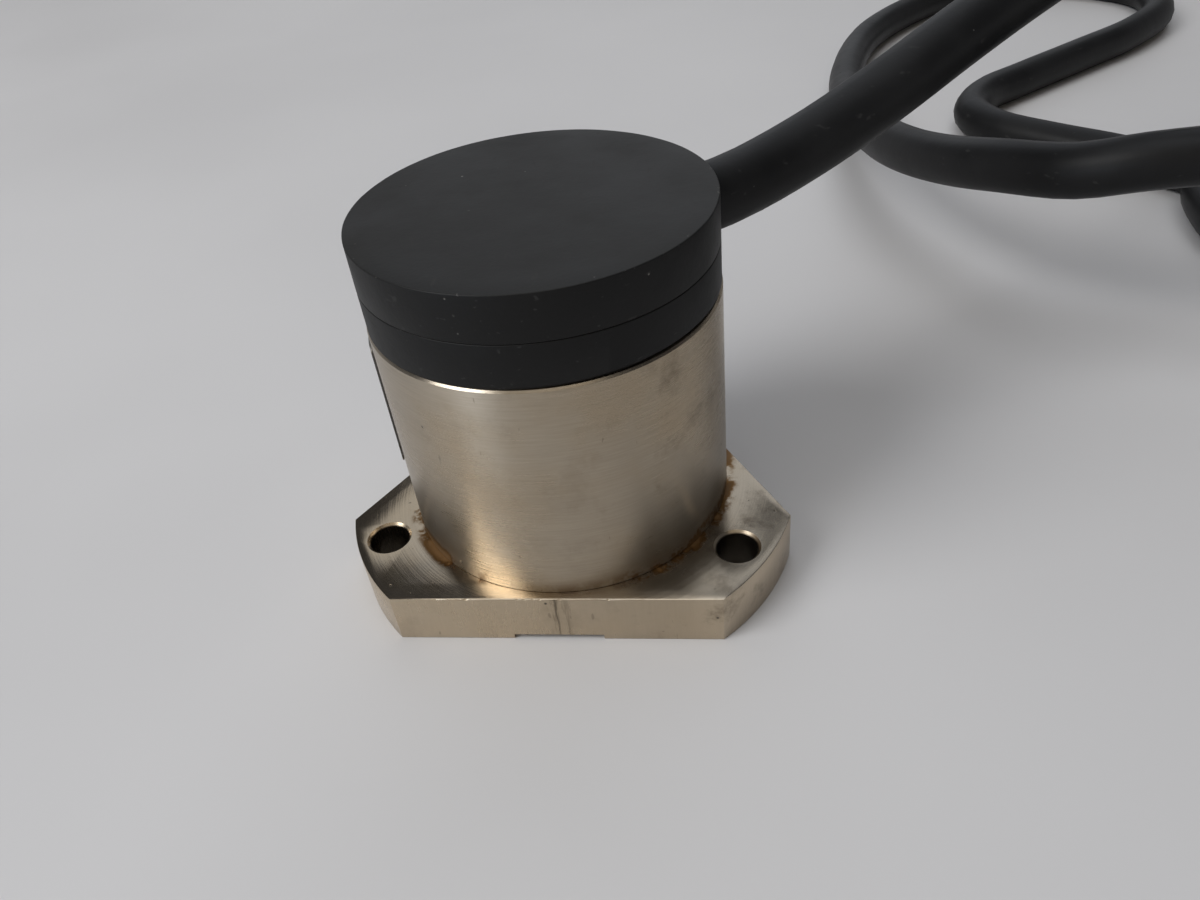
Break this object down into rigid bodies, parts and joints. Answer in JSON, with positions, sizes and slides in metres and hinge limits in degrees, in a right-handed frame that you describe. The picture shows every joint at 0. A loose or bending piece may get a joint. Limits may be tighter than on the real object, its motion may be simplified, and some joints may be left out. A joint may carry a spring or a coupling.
{
  "type": "rotary encoder",
  "caption": "Blind hollow-shaft rotary encoder: round steel body on a three-lobed screw flange, two-layer black cap, and a moulded-in cable ending in a round connector.",
  "frame": {"origin": "centre of the flange outline's bounding rectangle, on the underside of the mounting flange; the shaft axis stands at x = 0, y = -0.0033 m, because the flange has one flat and one lobe on its Y ends", "axes": "+Z along the shaft axis, away from the mounting face towards the cap; -Y towards the flange's front flat; +X to the right when the front flat is seen from in front. The cable leaves the cap 30 degrees from +X towards +Y"},
  "size_m": [0.2068, 0.2258, 0.0495],
  "materials": {
    "nickel_steel": "turned steel with a warm satin nickel finish, light scratches and a little rust at the flange joint",
    "black_cap": "matte moulded black plastic, faint scuffs and dust specks",
    "cable_jacket": "semi-matte black cable jacket",
    "rubber": "matte black nitrile rubber",
    "label_foil": "blank silvery rating-plate foil, dull",
    "bearing_steel": "ground and polished bearing steel",
    "shaft_steel": "fine turned stainless steel",
    "cage_brass": "stamped brass, satin",
    "spring_steel": "dark phosphated spring steel",
    "disc_glass": "clear chrome-graduated glass",
    "carrier_plastic": "glass-filled grey moulding",
    "led_lens": "clear epoxy lens",
    "chip_epoxy": "matte epoxy package",
    "circuit_board": "green solder mask over glass-epoxy laminate",
    "connector_plastic": "natural nylon",
    "shield_foil": "braided tinned-copper shield",
    "core_red": "red wire insulation",
    "core_blue": "blue wire insulation",
    "core_white": "white wire insulation",
    "core_green": "green wire insulation",
    "plug_shell": "nickel-plated brass, satin",
    "tie_nylon": "black nylon"
  },
  "bodies": {
    "housing": {"mounting_flange": "nickel_steel", "body_sleeve": "nickel_steel", "sleeve_o_ring": "rubber", "name_label": "label_foil", "shaft_seal": "rubber", "cap_lower_ring": "black_cap", "cap_upper_disc": "black_cap", "front_bearing_outer_ring": "bearing_steel", "rear_bearing_outer_ring": "bearing_steel", "bearing_spacer": "shaft_steel", "preload_washer": "spring_steel", "retaining_ring": "spring_steel", "optics_carrier": "carrier_plastic", "led_emitter": "led_lens", "reticle_plate": "disc_glass", "photo_sensor": "chip_epoxy", "main_board": "circuit_board", "board_screw_1": "bearing_steel", "board_screw_2": "bearing_steel", "board_screw_3": "bearing_steel", "wire_header": "connector_plastic", "line_driver_chip": "chip_epoxy", "inner_bundle": "shield_foil", "shield_clamp": "bearing_steel", "core_1": "core_red", "core_2": "core_blue", "core_3": "core_white", "core_4": "core_green", "cable_lead": "cable_jacket", "cable_coil": "cable_jacket", "cable_tail": "cable_jacket", "coil_tie_1": "tie_nylon", "coil_tie_2": "tie_nylon", "plug_gland_nut": "plug_shell", "plug_body": "plug_shell", "plug_insert": "connector_plastic"},
    "rotor": {"hollow_shaft": "shaft_steel", "shaft_screw": "spring_steel", "front_bearing_inner_ring": "bearing_steel", "rear_bearing_inner_ring": "bearing_steel", "code_disc": "disc_glass", "disc_clamp_ring": "shaft_steel"},
    "front_cage": {"front_bearing_cage": "cage_brass", "front_ball_1": "bearing_steel", "front_ball_2": "bearing_steel", "front_ball_3": "bearing_steel", "front_ball_4": "bearing_steel", "front_ball_5": "bearing_steel", "front_ball_6": "bearing_steel", "front_ball_7": "bearing_steel"},
    "rear_cage": {"rear_bearing_cage": "cage_brass", "rear_ball_1": "bearing_steel", "rear_ball_2": "bearing_steel", "rear_ball_3": "bearing_steel", "rear_ball_4": "bearing_steel", "rear_ball_5": "bearing_steel", "rear_ball_6": "bearing_steel", "rear_ball_7": "bearing_steel"},
    "plug_nut": {"coupling_nut": "plug_shell"}
  },
  "joints": [
    {"name": "shaft_turn", "type": "hinge", "parent": "housing", "child": "rotor", "pos_m": [0, -0.0033, 0], "axis": [0, 0, 1], "continuous": true},
    {"name": "front_cage_turn", "type": "hinge", "parent": "housing", "child": "front_cage", "pos_m": [0, -0.0033, 0.0072], "axis": [0, 0, 1], "continuous": true},
    {"name": "rear_cage_turn", "type": "hinge", "parent": "housing", "child": "rear_cage", "pos_m": [0, -0.0033, 0.0172], "axis": [0, 0, 1], "continuous": true},
    {"name": "coupling_nut_turn", "type": "hinge", "parent": "housing", "child": "plug_nut", "pos_m": [0.1325, 0.0287, 0.0296], "axis": [0.9063, 0.4226, 0], "continuous": true}
  ],
  "couplings": [
    {"joint": "front_cage_turn", "follows": "shaft_turn", "ratio": 0.4303},
    {"joint": "rear_cage_turn", "follows": "shaft_turn", "ratio": 0.4303}
  ]
}
